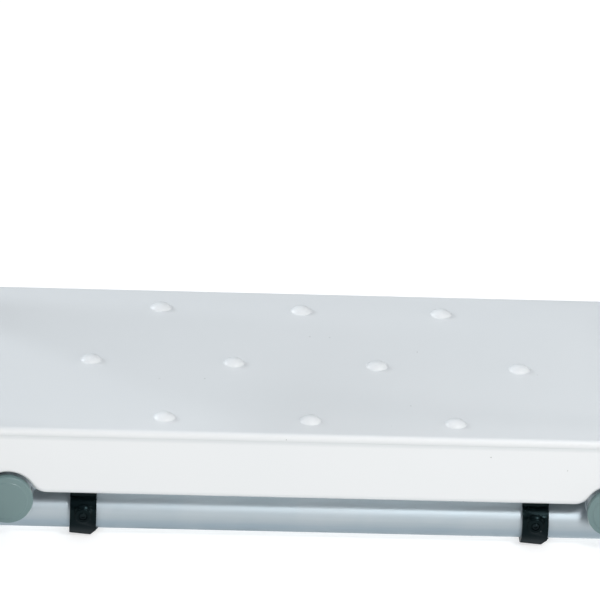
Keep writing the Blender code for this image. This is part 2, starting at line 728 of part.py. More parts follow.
def make_knob(black):
    """A lobed hand knob whose neck starts at the origin and that points towards -Y."""
    sections = [
        (KNOB_NECK_RADIUS, 0.0, 0.0),
        (KNOB_NECK_RADIUS, 0.0, KNOB_NECK),
        (KNOB_RADIUS - KNOB_ROUNDING, KNOB_LOBE_DEPTH / 2, KNOB_NECK),
        (KNOB_RADIUS, KNOB_LOBE_DEPTH, KNOB_NECK + KNOB_ROUNDING),
        (KNOB_RADIUS, KNOB_LOBE_DEPTH, KNOB_LENGTH - KNOB_ROUNDING),
        (KNOB_RADIUS - KNOB_ROUNDING, KNOB_LOBE_DEPTH / 2, KNOB_LENGTH),
    ]
    rings = [lobed_ring(radius, depth, -y) for radius, depth, y in sections]
    knob = make_object("knob_pattern", loft(rings), black)
    hole = cylinder(STUD_RADIUS + FIT, -STUD_IN_KNOB - FIT, CUT_MARGIN, "Y", (0.0, 0.0, 0.0), SMALL_SIDES)
    return combine(knob, [make_object("cutter", hole)], "DIFFERENCE")


def make_stud(steel):
    """The threaded rod of a knob; its origin is where the knob's neck starts."""
    tip = COLLAR_BOSS_REACH + FIT - TUBE_BORE
    profile = [
        (0.0, -STUD_IN_KNOB),
        (STUD_RADIUS, -STUD_IN_KNOB),
        (STUD_RADIUS, tip - STUD_CHAMFER),
        (STUD_RADIUS - STUD_CHAMFER, tip),
        (0.0, tip),
    ]
    return make_object("stud_pattern", turned(profile, "Y", SMALL_SIDES), steel)


def hanger_path(side):
    """The hanger's centre line as runs and bends: pairs of a point and its direction."""
    inner_x = TUBE_END - HANGER_INSERTION
    corners = [
        Vector((side * inner_x, -TUBE_Y, TUBE_Z)),
        Vector((side * HANGER_X, -TUBE_Y, TUBE_Z)),
        Vector((side * HANGER_X, -TUBE_Y, HANGER_Z)),
        Vector((side * HANGER_BAR_X, -TUBE_Y, HANGER_Z)),
        Vector((side * HANGER_BAR_X, TUBE_Y, HANGER_Z)),
        Vector((side * HANGER_X, TUBE_Y, HANGER_Z)),
        Vector((side * HANGER_X, TUBE_Y, TUBE_Z)),
        Vector((side * inner_x, TUBE_Y, TUBE_Z)),
    ]
    first = (corners[1] - corners[0]).normalized()
    stations = [(corners[0], first)]
    for before, corner, after in zip(corners, corners[1:], corners[2:]):
        arriving = (corner - before).normalized()
        leaving = (after - corner).normalized()
        centre = corner - arriving * HANGER_BEND + leaving * HANGER_BEND
        for i in range(BEND_STEPS + 1):
            turn = math.pi / 2 * i / BEND_STEPS
            point = centre - leaving * HANGER_BEND * math.cos(turn) + arriving * HANGER_BEND * math.sin(turn)
            direction = arriving * math.cos(turn) + leaving * math.sin(turn)
            stations.append((point, direction))
    last = (corners[-1] - corners[-2]).normalized()
    stations.append((corners[-1], last))
    return stations


def make_hanger(name, side, aluminium):
    """A bent tube, open at both ends."""
    stations = hanger_path(side)
    across = Vector((0.0, 0.0, 1.0))
    previous = stations[0][1]
    outside = []
    inside = []
    for point, direction in stations:
        across = previous.rotation_difference(direction) @ across
        previous = direction
        other = direction.cross(across)

        def place(a, b):
            return point + across * a + other * b

        outside.append(circle_points(HANGER_RADIUS, HANGER_SIDES, place))
        inside.append(circle_points(HANGER_RADIUS - HANGER_WALL, HANGER_BORE_SIDES, place))
    bm = bmesh.new()
    skins = [add_skin(bm, rings) for rings in (outside, inside)]
    for end in (0, -1):
        edges = [edge for skin in skins for edge in skin[end]]
        bmesh.ops.triangle_fill(bm, edges=edges, use_beauty=True)
    return make_object(name, bm, aluminium)


def make_pad(name, side_x, side_y, rubber):
    """A rubber sleeve on a hanger, round above and flat and grooved below."""
    outer = PAD_BORE + PAD_WALL
    sole = -(PAD_BORE + PAD_SOLE)
    foot = (outer - PAD_CORNER, sole + PAD_CORNER)
    outline = [
        *arc((0.0, 0.0), outer, 0, 180, PAD_TOP_STEPS),
        *arc((-foot[0], foot[1]), PAD_CORNER, 180, 270, PAD_CORNER_STEPS),
        *arc(foot, PAD_CORNER, 270, 360, PAD_CORNER_STEPS),
    ]
    x = side_x * PAD_X
    y = side_y * TUBE_Y
    rings = []
    for offset in (-PAD_LENGTH / 2, PAD_LENGTH / 2):
        rings.append([Vector((x + offset, y + a, HANGER_Z + b)) for a, b in outline])
    pad = make_object(name, loft(rings), rubber)
    reach = PAD_LENGTH / 2 + CUT_MARGIN
    cutters = [make_object("cutter", cylinder(PAD_BORE, -reach, reach, "X", (x, y, HANGER_Z), HANGER_SIDES))]
    for step in PAD_GROOVE_STEPS:
        groove_x = x + step * PAD_GROOVE_PITCH
        low = (groove_x - PAD_GROOVE_WIDTH / 2, y - outer - CUT_MARGIN, HANGER_Z + sole - CUT_MARGIN)
        high = (groove_x + PAD_GROOVE_WIDTH / 2, y + outer + CUT_MARGIN, HANGER_Z + sole + PAD_GROOVE_DEPTH)
        cutters.append(make_object("cutter", box(low, high)))
    return combine(pad, cutters, "DIFFERENCE")


def place_corner_pieces(patterns):
    """Copy the pieces that repeat at each corner of the frame from their patterns."""
    cap, clip, clip_screw, seat_screw, collars, knob, stud = patterns
    for side_name, side_x in SIDES:
        for end_name, side_y in ENDS:
            corner = f"{side_name}_{end_name}"
            turn = 0.0 if side_y < 0 else math.pi
            cap_y = side_y * (CROSS_END + FIT)
            make_copy(cap, f"{corner}_cap", Vector((side_x * CROSS_X, cap_y, CROSS_Z)), turn)
            tube = Vector((side_x * CLIP_X, side_y * TUBE_Y, TUBE_Z))
            make_copy(clip, f"{corner}_clip", tube, turn)
            head = Vector((0.0, side_y * (CLIP_HEAD_SEAT + FIT), CLIP_SCREW_RISE))
            make_copy(clip_screw, f"{corner}_clip_screw", tube + head, turn)
            under = Vector((side_x * CLIP_X, side_y * SEAT_SCREW_Y, CLIP_TOP - CLIP_FLANGE - FIT))
            make_copy(seat_screw, f"{corner}_seat_screw", under, turn)
            collar = collars[side_x * -side_y]
            make_copy(collar, f"{corner}_collar", Vector((0.0, side_y * TUBE_Y, TUBE_Z)), turn)
            neck_y = side_y * (TUBE_Y + COLLAR_BOSS_REACH + FIT)
            neck = Vector((side_x * KNOB_X, neck_y, TUBE_Z))
            make_copy(knob, f"{corner}_knob", neck, turn)
            make_copy(stud, f"{corner}_stud", neck, turn)


def build():
    """Clear the scene and make every piece."""
    for item in list(bpy.data.objects):
        bpy.data.objects.remove(item)
    white = make_material("white_plastic", (0.83, 0.86, 0.88), 0.38)
    aluminium = make_material("aluminium", (0.70, 0.74, 0.78), 0.34, 1.0)
    grey = make_material("grey_plastic", (0.18, 0.25, 0.25), 0.42)
    black = make_material("black_plastic", (0.012, 0.018, 0.022), 0.36)
    steel = make_material("steel", (0.55, 0.56, 0.57), 0.30, 1.0)
    rubber = make_material("grey_rubber", (0.10, 0.12, 0.12), 0.75)
    make_seat(white)
    for end_name, side_y in ENDS:
        make_long_tube(f"{end_name}_tube", side_y, aluminium)
    for side_name, side_x in SIDES:
        make_cross_tube(f"{side_name}_cross_tube", side_x, aluminium)
        make_hanger(f"{side_name}_hanger", side_x, aluminium)
        for end_name, side_y in ENDS:
            make_pad(f"{side_name}_{end_name}_rim_pad", side_x, side_y, rubber)
    clip_screw_length = CLIP_HEAD_SEAT - TUBE_BORE
    patterns = (
        make_cap(grey),
        make_clip(black),
        make_socket_screw("clip_screw_pattern", "Y", clip_screw_length, -1, black),
        make_object("seat_screw_pattern", screw_solid("Z", SEAT_SCREW_LENGTH, -1), steel),
        {side: make_collar(side, black) for _, side in SIDES},
        make_knob(black),
        make_stud(steel),
    )
    place_corner_pieces(patterns)
    for pattern in patterns:
        for item in pattern.values() if isinstance(pattern, dict) else (pattern,):
            bpy.data.objects.remove(item)


build()
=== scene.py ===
"""The looks of a bath seat that hangs from the rims of a bath: finishes, fine surfaces, light and camera."""

import json
import math

import bmesh
import bpy
from mathutils import Matrix, Vector


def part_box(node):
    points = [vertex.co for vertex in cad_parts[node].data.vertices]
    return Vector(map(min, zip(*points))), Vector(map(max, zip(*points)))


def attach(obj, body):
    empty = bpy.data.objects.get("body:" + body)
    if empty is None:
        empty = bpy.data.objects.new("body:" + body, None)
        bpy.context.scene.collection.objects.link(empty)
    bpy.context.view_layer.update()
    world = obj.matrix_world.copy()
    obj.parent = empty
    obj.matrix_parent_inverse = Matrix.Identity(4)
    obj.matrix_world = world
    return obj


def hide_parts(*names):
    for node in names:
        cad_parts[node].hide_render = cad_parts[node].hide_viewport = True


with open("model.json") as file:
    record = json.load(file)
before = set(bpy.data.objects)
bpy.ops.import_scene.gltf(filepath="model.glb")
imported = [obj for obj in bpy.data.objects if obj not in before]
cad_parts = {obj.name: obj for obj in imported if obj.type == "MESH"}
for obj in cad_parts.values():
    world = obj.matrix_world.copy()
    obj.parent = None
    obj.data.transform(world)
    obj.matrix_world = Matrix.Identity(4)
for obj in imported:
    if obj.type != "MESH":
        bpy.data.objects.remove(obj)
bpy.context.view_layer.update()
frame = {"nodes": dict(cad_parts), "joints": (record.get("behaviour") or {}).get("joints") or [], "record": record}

MM = 0.001
MICROMETRE_DIGITS = 6
NODES = frame["nodes"]
NODE_BODY = {node: body for body, nodes in frame["record"]["behaviour"]["bodies"].items() for node in nodes}
JOINT_PLACE = {joint["name"]: joint["pos_m"] for joint in frame["joints"]}
SIDES = (("left", -1), ("right", 1))
ENDS = (("front", -1), ("rear", 1))


def node_low(node, axis):
    """Lowest coordinate of a CAD node along an axis, to the nearest micrometre."""
    return round(getattr(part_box(node)[0], axis), MICROMETRE_DIGITS)


def node_high(node, axis):
    """Highest coordinate of a CAD node along an axis, to the nearest micrometre."""
    return round(getattr(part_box(node)[1], axis), MICROMETRE_DIGITS)


def node_middle(node, axis):
    """Middle of a CAD node along an axis, to the nearest micrometre."""
    return round((node_low(node, axis) + node_high(node, axis)) / 2.0, MICROMETRE_DIGITS)


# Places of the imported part, read from its nodes on the right and at the rear
TUBE_Y = node_middle("rear_tube", "y")
TUBE_Z = node_middle("rear_tube", "z")
TUBE_END = node_high("rear_tube", "x")
CROSS_X = node_middle("right_cross_tube", "x")
CROSS_Z = node_middle("right_cross_tube", "z")
CROSS_END = node_high("right_cross_tube", "y")
SEAT_DEPTH = 2.0 * node_high("seat_shell", "y")
NUB_TOP = node_high("seat_shell", "z")
CLIP_X = node_middle("right_rear_clip_screw", "x")
CLIP_SCREW_Z = node_middle("right_rear_clip_screw", "z")
SEAT_SCREW_Y = node_middle("right_rear_seat_screw", "y")
SEAT_SCREW_TIP = node_high("right_rear_seat_screw", "z")
KNOB_X = node_middle("right_rear_knob", "x")
KNOB_Y = node_low("right_rear_knob", "y")
STUD_INNER_END = node_low("right_rear_stud", "y")
STUD_OUTER_END = node_high("right_rear_stud", "y")
HANGER_START = node_low("right_hanger", "x")
HANGER_X = JOINT_PLACE["right_hanger_slide"][0]
PAD_X = node_middle("right_rear_rim_pad", "x")
HANGER_BAR_X = 2.0 * PAD_X - HANGER_X

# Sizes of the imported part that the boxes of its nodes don't show
FIT = 0.3 * MM
NUB_RADIUS = 7.3 * MM
NUB_HEIGHT = 3.8 * MM
NUB_PITCH = 100.0 * MM
NUB_ROW_PITCH = 86.6 * MM
NUB_ROWS = (3, 4, 3)
NUB_OFFSET_X = -2.0 * MM
NUB_OFFSET_Y = -3.8 * MM
SEAT_TOP = NUB_TOP - NUB_HEIGHT
APRON_HEIGHT = 49.2 * MM
APRON_BOTTOM = SEAT_TOP - APRON_HEIGHT
LIP_ROUNDING = 3.6 * MM
LIP_WIDTH = 4.8 * MM
TUBE_WALL = 1.6 * MM
TUBE_RADIUS = 12.7 * MM
TUBE_BORE = TUBE_RADIUS - TUBE_WALL
CROSS_RADIUS = 15.9 * MM
CROSS_BORE = CROSS_RADIUS - TUBE_WALL
CLIP_HEAD_SEAT = 15.9 * MM
SCREW_BORE = 2.3 * MM
SCREW_RADIUS = 2.0 * MM
STUD_BORE = 3.3 * MM
HANGER_WALL = 1.5 * MM
HANGER_RADIUS = TUBE_BORE - FIT
HANGER_BORE = HANGER_RADIUS - HANGER_WALL
HANGER_HEIGHT = 240.0 * MM
HANGER_Z = TUBE_Z + HANGER_HEIGHT
HANGER_BEND = 28.0 * MM

# Finer shapes that the scene adds, and how fine their round surfaces are
ARCH_RADIUS = 19.2 * MM
ARCH_MIDDLE_FLARE = 12.5 * MM
ARCH_END_FLARE = 9.3 * MM
# Height and half width of the painted shade line under the seat's bead, laid into the white moulding's colour
GROOVE_SHADE_Z = 79.3 * MM
GROOVE_SHADE_HALF = 2.6 * MM
ROUND = 96
SMALL_ROUND = 48
HOLE_ROUND = 32
HEXAGON = 6
EDGE_STEPS = 8
PIN_POINT = 0.01 * MM
MARGIN = 4.0 * MM
SMOOTH_ANGLE = math.radians(38.0)
BEVEL_ANGLE = math.radians(40.0)
BEVEL_SEGMENTS = 2

# Sockets of a Mix node that mixes colours, and the values between which most of a noise lies
MIX_FIRST = 6
MIX_SECOND = 7
MIX_RESULT = 2
NOISE_LOW = 0.3
NOISE_HIGH = 0.7

# Surroundings: colours by height in front and behind, and the width of the blend between them
WORLD_BLEND = 0.15
WHITE = (1.0, 1.0, 1.0)
TABLE_LIGHT = (0.71, 0.79, 0.85)
ROOF_LIGHT = (0.63, 0.69, 0.75)
FRONT_STOPS = (
    (0.00, TABLE_LIGHT),
    (0.17, TABLE_LIGHT),
    (0.24, (0.99, 0.98, 0.97)),
    (0.38, (0.99, 0.98, 0.97)),
    (0.43, (1.03, 1.03, 1.03)),
    (0.53, (1.03, 1.03, 1.03)),
    (0.58, (1.28, 1.27, 1.26)),
    (0.68, (1.28, 1.27, 1.26)),
    (0.74, (0.16, 0.17, 0.18)),
    (0.86, (0.16, 0.17, 0.18)),
    (0.90, ROOF_LIGHT),
    (1.00, ROOF_LIGHT),
)
BACK_STOPS = (
    (0.00, (0.50, 0.56, 0.60)),
    (0.10, (0.18, 0.22, 0.24)),
    (0.25, (0.12, 0.14, 0.15)),
    (0.29, (0.70, 0.72, 0.73)),
    (0.40, (0.70, 0.72, 0.73)),
    (0.45, (0.48, 0.50, 0.51)),
    (0.53, (0.48, 0.50, 0.51)),
    (0.58, (0.27, 0.29, 0.30)),
    (0.86, (0.24, 0.26, 0.27)),
    (0.90, ROOF_LIGHT),
    (1.00, ROOF_LIGHT),
)


class Finish:
    """A node material being put together around its main shader."""

    def __init__(self, name, color, roughness, metallic=0.0, place=None, **constants):
        self.material = bpy.data.materials.new(name)
        self.material.use_nodes = True
        self.material.diffuse_color = (*color, 1.0)
        self.tree = self.material.node_tree
        self.shader = self.tree.nodes["Principled BSDF"]
        self.roughness = roughness
        self.set(self.shader, "Base Color", (*color, 1.0))
        self.set(self.shader, "Roughness", roughness)
        self.set(self.shader, "Metallic", metallic)
        for key, value in constants.items():
            self.set(self.shader, key.replace("_", " "), value)
        if place is None:
            self.place = self.add("TexCoord").outputs["Object"]
        else:
            self.place = self.add("Attribute", attribute_name=place).outputs["Vector"]
        self.normal = None

    def set(self, node, socket, value):
        node.inputs[socket].default_value = value

    def add(self, kind, **settings):
        node = self.tree.nodes.new("ShaderNode" + kind)
        for key, value in settings.items():
            setattr(node, key, value)
        return node

    def link(self, out_socket, in_socket):
        self.tree.links.new(out_socket, in_socket)

    def stretched(self, scale):
        """Place coordinates scaled by a different amount along each axis."""
        mapping = self.add("Mapping")
        self.set(mapping, "Scale", scale)
        self.link(self.place, mapping.inputs["Vector"])
        return mapping.outputs["Vector"]

    def along(self, axis):
        """One place coordinate: X, Y or Z."""
        split = self.add("SeparateXYZ")
        self.link(self.place, split.inputs["Vector"])
        return split.outputs[axis]

    def noise(self, scale, detail, stretch=None, distortion=0.0):
        node = self.add("TexNoise")
        self.set(node, "Scale", scale)
        self.set(node, "Detail", detail)
        self.set(node, "Distortion", distortion)
        self.link(self.stretched(stretch) if stretch else self.place, node.inputs["Vector"])
        return node.outputs["Fac"]

    def specks(self, scale, radius, share):
        """One where a small dot lies, in a share of the cells of a random grid."""
        cells = self.add("TexVoronoi")
        self.set(cells, "Scale", scale)
        self.link(self.place, cells.inputs["Vector"])
        near = self.math("LESS_THAN", cells.outputs["Distance"], radius * scale)
        chosen = self.math("LESS_THAN", cells.outputs["Color"], share)
        return self.math("MULTIPLY", near, chosen)

    def rise(self, value, start, end):
        """Nought at the start and one at the end, with a soft change between them."""
        node = self.add("MapRange", interpolation_type="SMOOTHSTEP")
        self.set(node, "From Min", start)
        self.set(node, "From Max", end)
        self.link(value, node.inputs["Value"])
        return node.outputs["Result"]

    def line_at_height(self, height, half_width):
        """One at a height above the ground, fading to nought at a small distance from it."""
        away = self.math("ABSOLUTE", self.math("SUBTRACT", self.along("Z"), height))
        return self.rise(away, half_width, 0.0)

    def soft_span(self, axis, low, high, fade):
        """One between two places along an axis, with a soft fall to nought outside them."""
        value = self.along(axis)
        return self.math("MULTIPLY", self.rise(value, low - fade, low), self.rise(value, high + fade, high))

    def remap(self, noise, low, high):
        """Spread a noise over the values from low to high."""
        node = self.add("MapRange")
        self.set(node, "From Min", NOISE_LOW)
        self.set(node, "From Max", NOISE_HIGH)
        self.set(node, "To Min", low)
        self.set(node, "To Max", high)
        self.link(noise, node.inputs["Value"])
        return node.outputs["Result"]

    def mix(self, factor, first, second):
        """Mix two colours; each is a colour or a socket."""
        node = self.add("Mix", data_type="RGBA")
        self.link(factor, node.inputs["Factor"])
        for socket, value in ((node.inputs[MIX_FIRST], first), (node.inputs[MIX_SECOND], second)):
            if isinstance(value, bpy.types.NodeSocket):
                self.link(value, socket)
            else:
                socket.default_value = (*value, 1.0)
        return node.outputs[MIX_RESULT]

    def math(self, operation, first, second=None):
        node = self.add("Math", operation=operation)
        for socket, value in zip(node.inputs, (first, second)):
            if isinstance(value, bpy.types.NodeSocket):
                self.link(value, socket)
            elif value is not None:
                socket.default_value = value
        return node.outputs[0]

    def bump(self, height, distance, strength):
        """Stack a bump on those already there."""
        node = self.add("Bump")
        self.set(node, "Distance", distance)
        self.set(node, "Strength", strength)
        self.link(height, node.inputs["Height"])
        if self.normal is not None:
            self.link(self.normal, node.inputs["Normal"])
        self.normal = node.outputs["Normal"]
        self.link(self.normal, self.shader.inputs["Normal"])

    def vary_roughness(self, noise, spread):
        result = self.remap(noise, self.roughness - spread, self.roughness + spread)
        self.link(result, self.shader.inputs["Roughness"])

    def use_color(self, socket):
        self.link(socket, self.shader.inputs["Base Color"])


def white_plastic():
    """Satin white moulding with a fine grain, faint flow marks, a few tiny specks and painted shade under the
    bead.
    """
    finish = Finish("white_moulding", (0.755, 0.765, 0.768), roughness=0.40, IOR=1.49)
    cool = (0.740, 0.754, 0.758)
    warm = (0.770, 0.777, 0.778)
    groove_shade = (0.65, 0.67, 0.675)
    speck_color = (0.34, 0.35, 0.33)
    tone = finish.mix(finish.noise(scale=9.0, detail=2.0), cool, warm)
    # Painted shade: the colour is darker in a soft line at the groove's height, where the bead shades the apron
    tone = finish.mix(finish.line_at_height(GROOVE_SHADE_Z, GROOVE_SHADE_HALF), tone, groove_shade)
    speck = finish.specks(scale=60.0, radius=0.4 * MM, share=0.4)
    finish.use_color(finish.mix(speck, tone, speck_color))
    finish.vary_roughness(finish.noise(scale=60.0, detail=4.0), spread=0.05)
    finish.bump(finish.noise(scale=22.0, detail=2.0), distance=0.25 * MM, strength=0.2)
    finish.bump(finish.noise(scale=1400.0, detail=2.0), distance=0.04 * MM, strength=0.3)
    return finish.material


def aluminium(name, direction, place=None):
    """Satin aluminium with fine drawing lines along the tube and soft handling marks."""
    finish = Finish(name, (0.45, 0.51, 0.55), roughness=0.52, metallic=1.0, place=place)
    handled = (0.43, 0.495, 0.535)
    clean = (0.475, 0.53, 0.565)
    line_scale = 6.0
    cross_scale = 700.0
    line_share = 0.6
    stretch = [line_scale if axis == direction else cross_scale for axis in "XYZ"]
    lines = finish.noise(scale=1.0, detail=4.0, stretch=stretch)
    marks = finish.noise(scale=35.0, detail=5.0, distortion=0.6)
    finish.use_color(finish.mix(finish.remap(marks, 0.0, 1.0), handled, clean))
    line_wear = finish.math("MULTIPLY", lines, line_share)
    mark_wear = finish.math("MULTIPLY", marks, 1.0 - line_share)
    finish.vary_roughness(finish.math("ADD", line_wear, mark_wear), spread=0.08)
    finish.bump(lines, distance=0.015 * MM, strength=0.4)
    return finish.material


def black_plastic():
    """Black moulding, semi-gloss, with a fine grain and slightly polished high spots."""
    middle = (0.0006, 0.0016, 0.002)
    deep = (0.0004, 0.0016, 0.002)
    worn = (0.0012, 0.0028, 0.0034)
    finish = Finish("black_moulding", middle, roughness=0.24, IOR=1.5, Specular_IOR_Level=0.13)
    finish.set(finish.shader, "Specular Tint", (0.55, 0.92, 1.0, 1.0))
    finish.use_color(finish.mix(finish.noise(scale=70.0, detail=3.0), deep, worn))
    finish.vary_roughness(finish.noise(scale=160.0, detail=4.0), spread=0.05)
    finish.bump(finish.noise(scale=1900.0, detail=2.0), distance=0.02 * MM, strength=0.3)
    return finish.material


def black_steel():
    """Blackened steel of the clip screws, smoother than the mouldings round them."""
    middle = (0.001, 0.003, 0.004)
    deep = (0.0008, 0.002, 0.003)
    worn = (0.002, 0.004, 0.005)
    finish = Finish("black_steel", middle, roughness=0.20, IOR=1.5, Specular_IOR_Level=0.20)
    finish.set(finish.shader, "Specular Tint", (0.60, 0.92, 1.0, 1.0))
    finish.use_color(finish.mix(finish.noise(scale=300.0, detail=3.0), deep, worn))
    finish.vary_roughness(finish.noise(scale=420.0, detail=3.0), spread=0.04)
    finish.bump(finish.noise(scale=1600.0, detail=2.0), distance=0.015 * MM, strength=0.3)
    return finish.material


def grey_plastic():
    """Grey-green satin caps with a fine grain."""
    finish = Finish("grey_moulding", (0.142, 0.216, 0.216), roughness=0.34, IOR=1.49)
    dark = (0.135, 0.207, 0.209)
    light = (0.149, 0.225, 0.223)
    finish.use_color(finish.mix(finish.noise(scale=45.0, detail=3.0), dark, light))
    finish.vary_roughness(finish.noise(scale=220.0, detail=4.0), spread=0.06)
    finish.bump(finish.noise(scale=1500.0, detail=2.0), distance=0.03 * MM, strength=0.3)
    return finish.material


def grey_rubber():
    """Matt rubber, a little dusty in patches."""
    finish = Finish("grey_rubber_skin", (0.085, 0.105, 0.105), roughness=0.78)
    clean = (0.070, 0.088, 0.088)
    dusty = (0.118, 0.138, 0.136)
    finish.use_color(finish.mix(finish.noise(scale=90.0, detail=5.0), clean, dusty))
    finish.vary_roughness(finish.noise(scale=300.0, detail=3.0), spread=0.10)
    finish.bump(finish.noise(scale=900.0, detail=3.0), distance=0.08 * MM, strength=0.6)
    return finish.material


def zinc_steel():
    """Zinc-plated steel of the screws and studs."""
    finish = Finish("zinc_plate", (0.56, 0.57, 0.58), roughness=0.30, metallic=1.0)
    dull = (0.50, 0.51, 0.53)
    bright = (0.63, 0.63, 0.62)
    finish.use_color(finish.mix(finish.noise(scale=400.0, detail=3.0), dull, bright))
    finish.vary_roughness(finish.noise(scale=500.0, detail=3.0), spread=0.08)
    finish.bump(finish.noise(scale=1200.0, detail=2.0), distance=0.02 * MM, strength=0.4)
    return finish.material


def floor_finish():
    """Plain pale floor, evenly glowing, with a painted soft shadow close under the seat; from below it is clear.
    """
    pale = (0.50, 0.50, 0.50)
    painted_shade_color = (0.15, 0.17, 0.18)
    painted_shade_glow = (0.22, 0.26, 0.27)
    finish = Finish("pale_floor", pale, roughness=0.85, Emission_Strength=0.65)
    # Painted shadow: a soft patch under the seat gets a darker colour and a weaker glow
    across = finish.soft_span("X", low=-205.0 * MM, high=205.0 * MM, fade=60.0 * MM)
    deep = finish.soft_span("Y", low=-62.0 * MM, high=70.0 * MM, fade=24.0 * MM)
    painted_shade = finish.math("MULTIPLY", across, deep)
    finish.use_color(finish.mix(painted_shade, pale, painted_shade_color))
    finish.link(finish.mix(painted_shade, WHITE, painted_shade_glow), finish.shader.inputs["Emission Color"])
    finish.vary_roughness(finish.noise(scale=3.0, detail=2.0), spread=0.03)
    side = finish.add("NewGeometry")
    clear = finish.add("BsdfTransparent")
    blend = finish.add("MixShader")
    finish.link(side.outputs["Backfacing"], blend.inputs["Fac"])
    finish.link(finish.shader.outputs["BSDF"], blend.inputs[1])
    finish.link(clear.outputs["BSDF"], blend.inputs[2])
    finish.link(blend.outputs["Shader"], finish.tree.nodes["Material Output"].inputs["Surface"])
    return finish.material


def make_object(name, bm, material):
    """Put a bmesh into the scene as one smoothly shaded piece."""
    bmesh.ops.recalc_face_normals(bm, faces=bm.faces)
    mesh = bpy.data.meshes.new(name)
    bm.to_mesh(mesh)
    bm.free()
    mesh.materials.append(material)
    piece = bpy.data.objects.new(name, mesh)
    bpy.context.scene.collection.objects.link(piece)
    smooth(mesh)
    return piece


def smooth(mesh):
    """Shade a mesh smoothly, apart from its sharp edges."""
    mesh.shade_smooth()
    mesh.set_sharp_from_angle(angle=SMOOTH_ANGLE)


def combine(target, tools, operation):
    """Cut tools out of a piece, or unite them with it, and keep the result as its mesh."""
    for tool in tools:
        modifier = target.modifiers.new(operation.lower(), "BOOLEAN")
        modifier.operation = operation
        modifier.solver = "EXACT"
        modifier.object = tool
    bpy.context.view_layer.update()
    evaluated = target.evaluated_get(bpy.context.evaluated_depsgraph_get())
    mesh = bpy.data.meshes.new_from_object(evaluated)
    target.modifiers.clear()
    target.data = mesh
    smooth(mesh)
    for tool in tools:
        bpy.data.objects.remove(tool)


def soften(piece, width):
    """Round the sharp edges of a piece a little, so that they catch the light."""
    bevel = piece.modifiers.new("edges", "BEVEL")
    bevel.width = width
    bevel.segments = BEVEL_SEGMENTS
    bevel.limit_method = "ANGLE"
    bevel.angle_limit = BEVEL_ANGLE
    bevel.use_clamp_overlap = True


def stand_in(piece, node):
    """Let a finer piece take the place of a CAD node on its body."""
    piece.name = node + "_surface"
    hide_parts(node)
    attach(piece, NODE_BODY[node])


def copy_of(node, material):
    """A welded copy of a CAD node, its flat faces whole again."""
    same_place = 0.0005 * MM
    flat_angle = math.radians(0.5)
    bm = bmesh.new()
    bm.from_mesh(NODES[node].data)
    bmesh.ops.remove_doubles(bm, verts=bm.verts, dist=same_place)
    bmesh.ops.dissolve_limit(bm, angle_limit=flat_angle, verts=bm.verts, edges=bm.edges)
    return make_object(node, bm, material)


def loft(rings, ring=False):
    """A closed solid through rings of points; with ring, its last ring meets the first."""
    bm = bmesh.new()
    loops = [[bm.verts.new(point) for point in points] for points in rings]
    followers = loops[1:] + loops[:1] if ring else loops[1:]
    for lower, upper in zip(loops, followers):
        bridge(bm, lower, upper)
    if not ring:
        bm.faces.new(loops[0])
        bm.faces.new(loops[-1])
    return bm


def bridge(bm, lower, upper):
    """Join two closed loops of vertices with a band of faces."""
    count = len(lower)
    for i in range(count):
        j = (i + 1) % count
        bm.faces.new((lower[i], lower[j], upper[j], upper[i]))


def circle(radius, sides, place):
    """Points of a circle; place turns two flat coordinates into a point in space."""
    turns = [math.tau * i / sides for i in range(sides)]
    return [place(radius * math.cos(turn), radius * math.sin(turn)) for turn in turns]


def square_to(axis, height, centre):
    """Return the function that places flat coordinates square to an axis, at a height along it."""
    order = {"X": (1, 2, 0), "Y": (2, 0, 1), "Z": (0, 1, 2)}[axis]

    def place(a, b):
        point = Vector((0.0, 0.0, 0.0))
        point[order[0]] = a
        point[order[1]] = b
        point[order[2]] = height
        return Vector(centre) + point

    return place


def turned(profile, axis, centre, sides=ROUND, ring=False):
    """Turn a profile of (radius, height) pairs about an axis through a centre."""
    return loft([circle(radius, sides, square_to(axis, height, centre)) for radius, height in profile], ring)


def arc(centre, radius, start, end, steps):
    """Points along an arc in a plane, angles in degrees, both ends included."""
    points = []
    for i in range(steps + 1):
        turn = math.radians(start + (end - start) * i / steps)
        points.append((centre[0] + radius * math.cos(turn), centre[1] + radius * math.sin(turn)))
    return points


def dome(radius, foot, height):
    """Profile of a low dome, from its foot to near its top."""
    last_angle = 80
    return [(radius * a, foot + height * b) for a, b in arc((0.0, 0.0), 1.0, 0, last_angle, EDGE_STEPS)]


def facing(way, profile):
    """A profile with its heights towards one way, 1 or -1, along its axis."""
    return [(radius, way * height) for radius, height in profile]


def rod(radius, start, end, axis, centre, material, sides=ROUND):
    """A plain round tool that cuts or is added."""
    low, high = sorted((start, end))
    return make_object("tool", turned([(radius, low), (radius, high)], axis, centre, sides), material)


def block(middle, half_size, material):
    """A plain square tool that cuts."""
    bm = bmesh.new()
    bmesh.ops.create_cube(bm, size=2.0)
    bmesh.ops.scale(bm, vec=half_size, verts=bm.verts)
    bmesh.ops.translate(bm, vec=middle, verts=bm.verts)
    return make_object("tool", bm, material)


